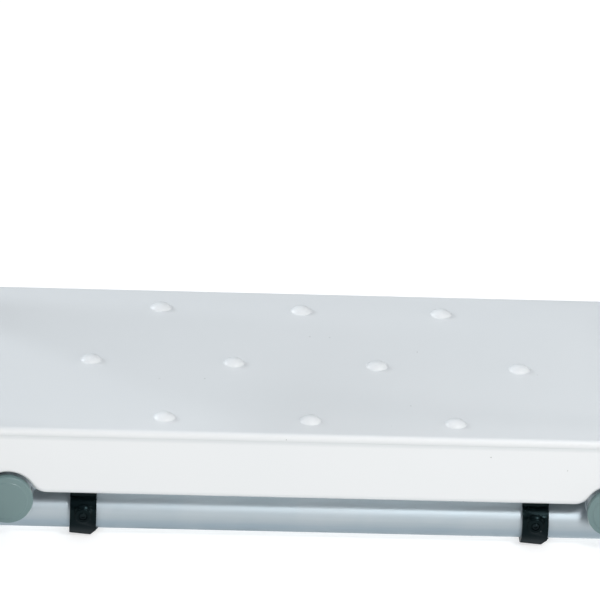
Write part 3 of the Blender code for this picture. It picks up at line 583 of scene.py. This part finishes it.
def make_long_tube(end, way, material):
    """The front or rear tube with its drilled holes."""
    chamfer = 0.3 * MM
    profile = [
        (TUBE_BORE, -TUBE_END + chamfer),
        (TUBE_BORE + chamfer, -TUBE_END),
        (TUBE_RADIUS - chamfer, -TUBE_END),
        (TUBE_RADIUS, -TUBE_END + chamfer),
        (TUBE_RADIUS, TUBE_END - chamfer),
        (TUBE_RADIUS - chamfer, TUBE_END),
        (TUBE_BORE + chamfer, TUBE_END),
        (TUBE_BORE, TUBE_END - chamfer),
    ]
    centre = (0.0, way * TUBE_Y, TUBE_Z)
    tube = make_object("tube", turned(profile, "X", centre, ring=True), material)
    holes = []
    for _, side in SIDES:
        for x, z, radius in ((CLIP_X, CLIP_SCREW_Z, SCREW_BORE), (KNOB_X, TUBE_Z, STUD_BORE)):
            spot = (side * x, way * TUBE_Y, z)
            holes.append(rod(radius, 0.0, way * (TUBE_RADIUS + MARGIN), "Y", spot, material, HOLE_ROUND))
    combine(tube, holes, "DIFFERENCE")
    stand_in(tube, f"{end}_tube")


def make_cross_tube(side_name, side, material):
    """A cross tube, fish-mouthed where it sits over the long tubes."""
    profile = [
        (CROSS_BORE, -CROSS_END),
        (CROSS_RADIUS, -CROSS_END),
        (CROSS_RADIUS, CROSS_END),
        (CROSS_BORE, CROSS_END),
    ]
    centre = (side * CROSS_X, 0.0, CROSS_Z)
    tube = make_object("tube", turned(profile, "Y", centre, ring=True), material)
    reach = CROSS_RADIUS + MARGIN
    mouths = []
    for _, way in ENDS:
        spot = (side * CROSS_X, way * TUBE_Y, TUBE_Z)
        mouths.append(rod(TUBE_RADIUS + FIT, -reach, reach, "X", spot, material))
    combine(tube, mouths, "DIFFERENCE")
    stand_in(tube, f"{side_name}_cross_tube")


def make_weld(name, side, way, material):
    """The weld bead between a cross tube and a long tube, along the curve where they meet."""
    bead = 2.1 * MM
    ripple = 0.22 * MM
    ripple_pitch = 1.7 * MM
    stations = 360
    sides = 12
    drop = CROSS_Z - TUBE_Z
    bottom = CROSS_RADIUS - drop
    widest = math.sqrt(TUBE_RADIUS ** 2 - bottom ** 2)
    wall_middle = TUBE_RADIUS - TUBE_WALL / 2.0
    centres = []
    for i in range(stations):
        turn = math.tau * i / stations
        across = widest * math.sin(turn)
        rise = math.sqrt(TUBE_RADIUS ** 2 - across ** 2)
        out = math.sqrt(max(CROSS_RADIUS ** 2 - (drop - rise) ** 2, 0.0))
        along = math.copysign(out, math.cos(turn))
        centres.append(Vector((side * CROSS_X + along, way * TUBE_Y + across, TUBE_Z + rise)))
    rings = []
    travelled = 0.0
    for i, centre in enumerate(centres):
        ahead = (centres[(i + 1) % stations] - centres[i - 1]).normalized()
        travelled += (centre - centres[i - 1]).length
        outward = Vector((centre.x - side * CROSS_X, 0.0, centre.z - CROSS_Z)).normalized()
        first = (outward - ahead * outward.dot(ahead)).normalized()
        second = ahead.cross(first)
        radius = bead + ripple * math.sin(math.tau * travelled / ripple_pitch)

        def place(a, b):
            point = centre + first * a + second * b
            spoke = Vector((0.0, point.y - way * TUBE_Y, point.z - TUBE_Z))
            # The root stays in the long tube's wall, clear of the hanger that slides inside.
            if spoke.length < wall_middle:
                point += spoke * (wall_middle / spoke.length - 1.0)
            return point

        rings.append(circle(radius, sides, place))
    weld = make_object(name, loft(rings, ring=True), material)
    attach(weld, "frame")


def make_cap(corner, side, way, material):
    """A round end cap with a plug, a rounded rim and a slightly raised face."""
    plug_length = 3.4 * MM
    plug_tip = 13.2 * MM
    plug_root = 14.0 * MM
    radius = 17.6 * MM
    chamfer = 0.2 * MM
    rim_height = 5.0 * MM
    rounding = 1.0 * MM
    rounding_steps = 10
    face_height = 6.0 * MM
    soft_step = ((14.2, 5.43), (14.0, 5.49), (13.85, 5.58), (13.55, 5.88), (13.4, 5.96), (13.2, 6.0))
    profile = [
        (PIN_POINT, -plug_length),
        (plug_tip, -plug_length),
        (plug_root, 0.0),
        (radius - chamfer, 0.0),
        (radius, chamfer),
    ]
    profile += arc((radius - rounding, rim_height - rounding), rounding, 0, 90, rounding_steps)
    profile += [(reach * MM, height * MM) for reach, height in soft_step]
    profile.append((PIN_POINT, face_height))
    back = (side * CROSS_X, way * (CROSS_END + FIT), CROSS_Z)
    stand_in(make_object("cap", turned(facing(way, profile), "Y", back), material), f"{corner}_cap")


def make_clip(corner, side, way, material):
    """The CAD clip with a rounder boss and recess."""
    boss_root = 13.4 * MM
    boss_front = 18.2 * MM
    boss_radius = 7.4 * MM
    boss_curve = 9.3 * MM
    steps = 24
    profile = [(boss_radius, boss_root)]
    for i in range(steps + 1):
        radius = boss_radius + (PIN_POINT - boss_radius) * i / steps
        profile.append((radius, boss_front - boss_curve + math.sqrt(boss_curve ** 2 - radius ** 2)))
    clip = copy_of(f"{corner}_clip", material)
    centre = (side * CLIP_X, way * TUBE_Y, CLIP_SCREW_Z)
    combine(clip, [make_object("tool", turned(facing(way, profile), "Y", centre), material)], "UNION")
    recess = 2.9 * MM
    mouth = 3.45 * MM
    profile = [
        (SCREW_BORE, 0.0),
        (SCREW_BORE, CLIP_HEAD_SEAT),
        (recess, CLIP_HEAD_SEAT),
        (recess, boss_front - 0.8 * MM),
        (recess + 0.15 * MM, boss_front - 0.55 * MM),
        (mouth, boss_front - 0.3 * MM),
        (mouth, boss_front + MARGIN / 2.0),
    ]
    combine(clip, [make_object("tool", turned(facing(way, profile), "Y", centre), material)], "DIFFERENCE")
    soften(clip, width=0.25 * MM)
    stand_in(clip, f"{corner}_clip")


def make_clip_screw(corner, side, way, material):
    """A domed screw with a six-sided socket."""
    length = 4.8 * MM
    head_radius = 2.6 * MM
    chamfer = 0.2 * MM
    socket_radius = 1.5 * MM
    socket_floor = 0.5 * MM
    profile = [
        (SCREW_RADIUS, -length),
        (SCREW_RADIUS, 0.0),
        (head_radius - chamfer, 0.0),
        (head_radius, chamfer),
    ]
    profile += dome(head_radius, foot=0.6 * MM, height=1.1 * MM)
    centre = (side * CLIP_X, way * (TUBE_Y + CLIP_HEAD_SEAT + FIT), CLIP_SCREW_Z)
    screw = make_object("screw", turned(facing(way, profile), "Y", centre, SMALL_ROUND), material)
    socket = rod(socket_radius, way * socket_floor, way * MARGIN, "Y", centre, material, HEXAGON)
    combine(screw, [socket], "DIFFERENCE")
    soften(screw, width=0.08 * MM)
    stand_in(screw, f"{corner}_clip_screw")


def make_seat_screw(corner, side, way, material):
    """A pan-head screw with a cross recess, seen from below."""
    length = 14.0 * MM
    head_radius = 3.5 * MM
    chamfer = 0.2 * MM
    slot_reach = 1.9 * MM
    slot_half = 0.35 * MM
    slot_middle = 2.6 * MM
    slot_half_height = 1.5 * MM
    profile = [(SCREW_RADIUS, length), (SCREW_RADIUS, 0.0), (head_radius - chamfer, 0.0)]
    profile += dome(head_radius, foot=-chamfer, height=-2.2 * MM)
    centre = Vector((side * CLIP_X, way * SEAT_SCREW_Y, SEAT_SCREW_TIP - length))
    screw = make_object("screw", turned(profile, "Z", centre, SMALL_ROUND), material)
    spot = centre - Vector((0.0, 0.0, slot_middle))
    slots = []
    for reach_x, reach_y in ((slot_reach, slot_half), (slot_half, slot_reach)):
        slots.append(block(spot, (reach_x, reach_y, slot_half_height), material))
    combine(screw, slots, "DIFFERENCE")
    soften(screw, width=0.06 * MM)
    stand_in(screw, f"{corner}_seat_screw")


def make_collar(corner, side, way, material):
    """The guide collar on a long tube's end, with the boss that the stud runs in."""
    wall = 2.5 * MM
    grip = 13.4 * MM
    lip = 3.0 * MM
    edge = 1.2 * MM
    chamfer = 0.4 * MM
    mouth_chamfer = 0.3 * MM
    bore = TUBE_RADIUS + FIT
    radius = bore + wall
    inner = TUBE_END - grip
    step = TUBE_END + FIT
    outer = step + lip
    profile = [(bore, inner), (radius - chamfer, inner), (radius, inner + chamfer)]
    profile += arc((radius - edge, outer - edge), edge, 0, 90, EDGE_STEPS)
    profile += [
        (TUBE_BORE + mouth_chamfer, outer),
        (TUBE_BORE, outer - mouth_chamfer),
        (TUBE_BORE, step),
        (bore, step),
    ]
    centre = (0.0, way * TUBE_Y, TUBE_Z)
    collar = make_object("collar", turned(facing(side, profile), "X", centre, ring=True), material)
    boss_radius = 7.0 * MM
    boss_root = 13.3 * MM
    boss_reach = 22.0 * MM
    profile = [(boss_radius, boss_root)]
    profile += arc((boss_radius - edge, boss_reach - edge), edge, 0, 90, EDGE_STEPS)
    centre = (side * KNOB_X, way * TUBE_Y, TUBE_Z)
    combine(collar, [make_object("tool", turned(facing(way, profile), "Y", centre), material)], "UNION")
    hole = rod(STUD_BORE, 0.0, way * (boss_reach + MARGIN), "Y", centre, material, SMALL_ROUND)
    combine(collar, [hole], "DIFFERENCE")
    stand_in(collar, f"{corner}_collar")


def make_knob(corner, side, way, material):
    """A hand knob with six soft lobes."""
    radius = 12.0 * MM
    length = 15.0 * MM
    lobes = 6
    depth = 2.2 * MM
    rounding = 2.0 * MM
    neck = 3.0 * MM
    neck_radius = 7.5 * MM
    bore_depth = 8.3 * MM
    edges = arc((radius - rounding, neck + rounding), rounding, 270, 360, EDGE_STEPS)
    edges += arc((radius - rounding, length - rounding), rounding, 0, 90, EDGE_STEPS)
    sections = [(neck_radius, 0.0, 0.0), (neck_radius, 0.0, neck)]
    for reach, out in edges:
        share = 0.5 + 0.5 * (reach - radius + rounding) / rounding
        sections.append((reach, depth * share, out))
    rings = []
    for reach, dent, out in sections:
        points = []
        for i in range(ROUND):
            turn = math.tau * i / ROUND
            wide = reach - dent * (1 - math.cos(lobes * turn)) / 2
            x = side * KNOB_X + wide * math.sin(turn)
            points.append(Vector((x, way * (KNOB_Y + out), TUBE_Z + wide * math.cos(turn))))
        rings.append(points)
    knob = make_object("knob", loft(rings), material)
    centre = (side * KNOB_X, way * KNOB_Y, TUBE_Z)
    hole = rod(STUD_BORE, -way * MARGIN, way * bore_depth, "Y", centre, material, SMALL_ROUND)
    combine(knob, [hole], "DIFFERENCE")
    stand_in(knob, f"{corner}_knob")


def make_stud(corner, side, way, material):
    """A threaded rod with chamfered tips."""
    radius = 3.0 * MM
    depth = 0.55 * MM
    pitch = 1.0 * MM
    chamfer = 0.75 * MM
    per_turn = 8
    sides = 32
    length = STUD_OUTER_END - STUD_INNER_END
    count = round(length / pitch * per_turn)
    rings = []
    for i in range(count + 1):
        y = STUD_INNER_END + length * i / count
        near_end = min(y - STUD_INNER_END, STUD_OUTER_END - y)
        limit = radius - max(0.0, chamfer - near_end)
        points = []
        for k in range(sides):
            turn = math.tau * k / sides
            phase = (y / pitch - way * k / sides) % 1.0
            reach = min(limit, radius - depth * abs(2 * phase - 1))
            x = side * KNOB_X + reach * math.sin(turn)
            points.append(Vector((x, way * y, TUBE_Z + reach * math.cos(turn))))
        rings.append(points)
    stand_in(make_object("stud", loft(rings), material), f"{corner}_stud")


def hanger_line(side):
    """The hanger's centre line as points with their directions."""
    corners = [
        Vector((side * HANGER_START, -TUBE_Y, TUBE_Z)),
        Vector((side * HANGER_X, -TUBE_Y, TUBE_Z)),
        Vector((side * HANGER_X, -TUBE_Y, HANGER_Z)),
        Vector((side * HANGER_BAR_X, -TUBE_Y, HANGER_Z)),
        Vector((side * HANGER_BAR_X, TUBE_Y, HANGER_Z)),
        Vector((side * HANGER_X, TUBE_Y, HANGER_Z)),
        Vector((side * HANGER_X, TUBE_Y, TUBE_Z)),
        Vector((side * HANGER_START, TUBE_Y, TUBE_Z)),
    ]
    steps = 16
    line = [(corners[0], (corners[1] - corners[0]).normalized())]
    for before, corner, after in zip(corners, corners[1:], corners[2:]):
        arriving = (corner - before).normalized()
        leaving = (after - corner).normalized()
        centre = corner - arriving * HANGER_BEND + leaving * HANGER_BEND
        for i in range(steps + 1):
            turn = math.pi / 2 * i / steps
            point = centre - leaving * HANGER_BEND * math.cos(turn) + arriving * HANGER_BEND * math.sin(turn)
            line.append((point, arriving * math.cos(turn) + leaving * math.sin(turn)))
    line.append((corners[-1], (corners[-1] - corners[-2]).normalized()))
    return line


def make_hanger(side_name, side, material):
    """A bent tube, open at both ends, that keeps each point's place along and round it."""
    sides = 48
    across = Vector((0.0, 0.0, 1.0))
    line = hanger_line(side)
    spot, previous = line[0]
    travelled = 0.0
    bm = bmesh.new()
    layer = bm.verts.layers.float_vector.new("path")
    outer_loops = []
    inner_loops = []
    for point, direction in line:
        across = previous.rotation_difference(direction) @ across
        other = direction.cross(across)
        travelled += (point - spot).length
        spot, previous = point, direction
        for radius, loops in ((HANGER_RADIUS, outer_loops), (HANGER_BORE, inner_loops)):
            loop = []
            for a, b in circle(radius, sides, lambda a, b: (a, b)):
                vertex = bm.verts.new(point + across * a + other * b)
                vertex[layer] = Vector((travelled, a, b))
                loop.append(vertex)
            loops.append(loop)
    for loops in (outer_loops, inner_loops):
        for lower, upper in zip(loops, loops[1:]):
            bridge(bm, lower, upper)
    for end in (0, -1):
        bridge(bm, outer_loops[end], inner_loops[end])
    stand_in(make_object("hanger", bm, material), f"{side_name}_hanger")


def make_pad(corner, side, way, material):
    """A rubber sleeve, round above and flat and grooved below, with softened edges."""
    bore = 11.33 * MM
    wall = 4.0 * MM
    sole_drop = 16.82 * MM
    round_off = 3.0 * MM
    top_steps = 40
    corner_steps = 10
    half_length = 16.0 * MM
    groove_places = (-2, -1, 1, 2)
    groove_pitch = 5.5 * MM
    groove_depth = 1.0 * MM
    groove_half = (1.0 * MM, bore + wall + MARGIN, 4.0 * MM)
    outer = bore + wall
    foot_side = outer - round_off
    foot_rise = round_off - sole_drop
    outline = arc((0.0, 0.0), outer, 0, 180, top_steps)
    outline += arc((-foot_side, foot_rise), round_off, 180, 270, corner_steps)
    outline += arc((foot_side, foot_rise), round_off, 270, 360, corner_steps)
    middle = Vector((side * PAD_X, way * TUBE_Y, HANGER_Z))
    rings = []
    for offset in (-half_length, half_length):
        rings.append([middle + Vector((offset, a, b)) for a, b in outline])
    pad = make_object("pad", loft(rings), material)
    tools = [rod(bore, -half_length - MARGIN, half_length + MARGIN, "X", middle, material)]
    for place in groove_places:
        spot = middle + Vector((place * groove_pitch, 0.0, groove_depth - groove_half[2] - sole_drop))
        tools.append(block(spot, groove_half, material))
    combine(pad, tools, "DIFFERENCE")
    soften(pad, width=0.35 * MM)
    stand_in(pad, f"{corner}_rim_pad")


def nub_tool(x, y, material):
    """A low round nub, the cap of a sphere with a small fillet at its foot."""
    sphere = (NUB_RADIUS ** 2 + NUB_HEIGHT ** 2) / (2 * NUB_HEIGHT)
    slope = math.asin(NUB_RADIUS / sphere)
    steps = 20
    sides = 64
    root = 1.2 * MM
    top_radius = 0.05 * MM
    foot = ((0.60, -0.02), (0.35, 0.05), (0.15, 0.18))
    profile = [(NUB_RADIUS + foot[0][0] * MM, -root)]
    profile += [(NUB_RADIUS + reach * MM, height * MM) for reach, height in foot]
    for i in range(1, steps):
        turn = slope * (1 - i / steps)
        profile.append((sphere * math.sin(turn), NUB_HEIGHT - sphere * (1 - math.cos(turn))))
    profile.append((top_radius, NUB_HEIGHT))
    return make_object("tool", turned(profile, "Z", (x, y, SEAT_TOP), sides), material)


def arch_half(growth, flare):
    """Half of an arch's outline, from its lower corner up to its top."""
    fillet_steps = 16
    crown_steps = 24
    fillet_z = APRON_BOTTOM - CROSS_Z + flare
    fillet_x = math.sqrt((ARCH_RADIUS + flare) ** 2 - fillet_z ** 2)
    lean = math.degrees(math.atan2(fillet_z, fillet_x))
    points = [(fillet_x, -ARCH_RADIUS)]
    points += arc((fillet_x, fillet_z), flare - growth, 270, 180 + lean, fillet_steps)
    points += arc((0.0, 0.0), ARCH_RADIUS + growth, lean, 90, crown_steps)[1:]
    return points


def arch_outline(side, growth):
    """Outline of the opening over a cap; its flare is wider towards the seat's middle."""
    middle = arch_half(growth, ARCH_MIDDLE_FLARE)
    end = arch_half(growth, ARCH_END_FLARE)
    outline = middle + [(-a, b) for a, b in reversed(end[:-1])]
    return [(-side * a, b) for a, b in outline]


def arch_tool(side, way, material):
    """Solid that rounds an arch in the apron smoothly and widens its flare."""
    margin = 1.0 * MM
    sections = [(LIP_ROUNDING, -margin)]
    for depth, growth in arc((LIP_ROUNDING, LIP_ROUNDING), LIP_ROUNDING, 180, 270, EDGE_STEPS):
        sections.append((growth, depth))
    sections.append((0.0, LIP_WIDTH + margin))
    rings = []
    for growth, depth in sections:
        y = way * (SEAT_DEPTH / 2 - depth)
        rings.append([Vector((side * CROSS_X + a, y, CROSS_Z + b)) for a, b in arch_outline(side, growth)])
    return make_object("tool", loft(rings), material)


def make_seat(material):
    """The seat moulding with smooth arches, rounder nubs and softened edges."""
    seat = copy_of("seat_shell", material)
    arches = [arch_tool(side, way, material) for _, side in SIDES for _, way in ENDS]
    combine(seat, arches, "DIFFERENCE")
    nubs = []
    for row, count in enumerate(NUB_ROWS):
        y = NUB_OFFSET_Y + ((len(NUB_ROWS) - 1) / 2 - row) * NUB_ROW_PITCH
        for i in range(count):
            nubs.append(nub_tool(NUB_OFFSET_X + (i - (count - 1) / 2) * NUB_PITCH, y, material))
    combine(seat, nubs, "UNION")
    soften(seat, width=0.25 * MM)
    shading = seat.modifiers.new("shading", "WEIGHTED_NORMAL")
    shading.keep_sharp = True
    stand_in(seat, "seat_shell")


def make_camera():
    """Camera at the photograph's viewing angle: it looks from the front, a little from the left, tipped."""
    yaw = math.radians(-3.313)
    pitch = math.radians(25.5)
    roll = math.radians(2.851)
    distance = 3.815
    aside = 3.9 * MM
    aloft = -46.0 * MM
    focal_pixels = 5457.0
    picture_pixels = 600.0
    sensor = 36.0
    farthest = 50.0
    target = Vector((-2.0 * MM, -5.7 * MM, SEAT_TOP))
    forward = Vector((-math.sin(yaw) * math.cos(pitch), math.cos(yaw) * math.cos(pitch), -math.sin(pitch)))
    level = Vector((math.cos(yaw), math.sin(yaw), 0.0))
    upright = level.cross(forward)
    right = math.cos(roll) * level + math.sin(roll) * upright
    up = math.cos(roll) * upright - math.sin(roll) * level
    data = bpy.data.cameras.new("photo_camera")
    data.sensor_width = sensor
    data.lens = focal_pixels / picture_pixels * sensor
    data.clip_end = farthest
    camera = bpy.data.objects.new("photo_camera", data)
    bpy.context.scene.collection.objects.link(camera)
    axes = Matrix((right, up, -forward)).transposed().to_4x4()
    spot = target - forward * distance - right * aside - up * aloft
    camera.matrix_world = Matrix.Translation(spot) @ axes
    bpy.context.scene.camera = camera


def area_light(name, azimuth, elevation, distance, size, power, color=WHITE):
    """A soft light aimed at the seat; size is width and height, azimuth 0 is in front and 90 to the left."""
    turn = math.radians(azimuth)
    lift = math.radians(elevation)
    aim = Vector((0.0, 0.0, 50.0 * MM))
    toward = Vector((-math.sin(turn) * math.cos(lift), -math.cos(turn) * math.cos(lift), math.sin(lift)))
    data = bpy.data.lights.new(name, "AREA")
    data.shape = "RECTANGLE"
    data.size, data.size_y = size
    data.energy = power
    data.color = color
    lamp = bpy.data.objects.new(name, data)
    bpy.context.scene.collection.objects.link(lamp)
    lamp.location = aim + toward * distance
    lamp.rotation_euler = (-toward).to_track_quat("-Z", "Y").to_euler()


def make_lights():
    """A key light, a cool side light, a narrow strip, and light thrown up from a table on both sides."""
    area_light("key", azimuth=-28.0, elevation=45.4, distance=2.5, size=(0.5, 0.5), power=25.0)
    cool = (0.94, 1.0, 1.06)
    area_light("side", azimuth=112.0, elevation=22.0, distance=4.0, size=(2.0, 0.55), power=78.0, color=cool)
    area_light("strip", azimuth=-82.0, elevation=14.0, distance=2.5, size=(0.25, 1.2), power=7.0)
    for name, side in SIDES:
        azimuth = -side * 124.0
        area_light(f"bounce_{name}", azimuth, elevation=-50.0, distance=2.5, size=(1.1, 0.6), power=33.0)


def height_ramp(tree, height, stops):
    """Colours of the surroundings by height, from straight down (0) to straight up (1)."""
    ramp = tree.nodes.new("ShaderNodeValToRGB")
    elements = ramp.color_ramp.elements
    while len(elements) < len(stops):
        elements.new(0.5)
    for element, (position, color) in zip(elements, stops):
        element.position = position
        element.color = (*color, 1.0)
    tree.links.new(height, ramp.inputs["Fac"])
    return ramp.outputs["Color"]


def make_world():
    """Pale surroundings like a light tent: a lit table, walls round about and a roof; seen as plain white."""
    world = bpy.data.worlds.new("studio")
    bpy.context.scene.world = world
    world.use_nodes = True
    tree = world.node_tree
    background = tree.nodes["Background"]
    place = tree.nodes.new("ShaderNodeTexCoord")
    split = tree.nodes.new("ShaderNodeSeparateXYZ")
    height = tree.nodes.new("ShaderNodeMapRange")
    height.inputs["From Min"].default_value = -1.0
    backness = tree.nodes.new("ShaderNodeMapRange")
    backness.interpolation_type = "SMOOTHSTEP"
    backness.inputs["From Min"].default_value = -WORLD_BLEND
    backness.inputs["From Max"].default_value = WORLD_BLEND
    tree.links.new(place.outputs["Generated"], split.inputs["Vector"])
    tree.links.new(split.outputs["Z"], height.inputs["Value"])
    tree.links.new(split.outputs["Y"], backness.inputs["Value"])
    blend = tree.nodes.new("ShaderNodeMix")
    blend.data_type = "RGBA"
    tree.links.new(backness.outputs["Result"], blend.inputs["Factor"])
    tree.links.new(height_ramp(tree, height.outputs["Result"], FRONT_STOPS), blend.inputs[MIX_FIRST])
    tree.links.new(height_ramp(tree, height.outputs["Result"], BACK_STOPS), blend.inputs[MIX_SECOND])
    rays = tree.nodes.new("ShaderNodeLightPath")
    seen = tree.nodes.new("ShaderNodeMix")
    seen.data_type = "RGBA"
    tree.links.new(rays.outputs["Is Camera Ray"], seen.inputs["Factor"])
    tree.links.new(blend.outputs[MIX_RESULT], seen.inputs[MIX_FIRST])
    seen.inputs[MIX_SECOND].default_value = (*WHITE, 1.0)
    tree.links.new(seen.outputs[MIX_RESULT], background.inputs["Color"])


def make_floor(material):
    """A wide plain floor under the part, which only the camera sees, so that it doesn't light the part."""
    half_width = 6.0
    bm = bmesh.new()
    bmesh.ops.create_grid(bm, x_segments=1, y_segments=1, size=half_width)
    floor = make_object("floor", bm, material)
    floor.visible_diffuse = False
    floor.visible_glossy = False
    floor.visible_shadow = False


white = white_plastic()
metal_x = aluminium("drawn_aluminium_across", "X")
metal_y = aluminium("drawn_aluminium_lengthwise", "Y")
metal_path = aluminium("drawn_aluminium_bent", "X", "path")
black = black_plastic()
dark_steel = black_steel()
grey = grey_plastic()
rubber = grey_rubber()
zinc = zinc_steel()

make_seat(white)
for end_name, way in ENDS:
    make_long_tube(end_name, way, metal_x)
for side_name, side in SIDES:
    make_cross_tube(side_name, side, metal_y)
    make_hanger(side_name, side, metal_path)
    for end_name, way in ENDS:
        corner = f"{side_name}_{end_name}"
        make_weld(f"{corner}_weld", side, way, metal_x)
        make_cap(corner, side, way, grey)
        make_clip(corner, side, way, black)
        make_clip_screw(corner, side, way, dark_steel)
        make_seat_screw(corner, side, way, zinc)
        make_collar(corner, side, way, black)
        make_knob(corner, side, way, black)
        make_stud(corner, side, way, zinc)
        make_pad(corner, side, way, rubber)

make_floor(floor_finish())
make_world()
make_lights()
make_camera()
bpy.context.scene.view_settings.view_transform = "Standard"
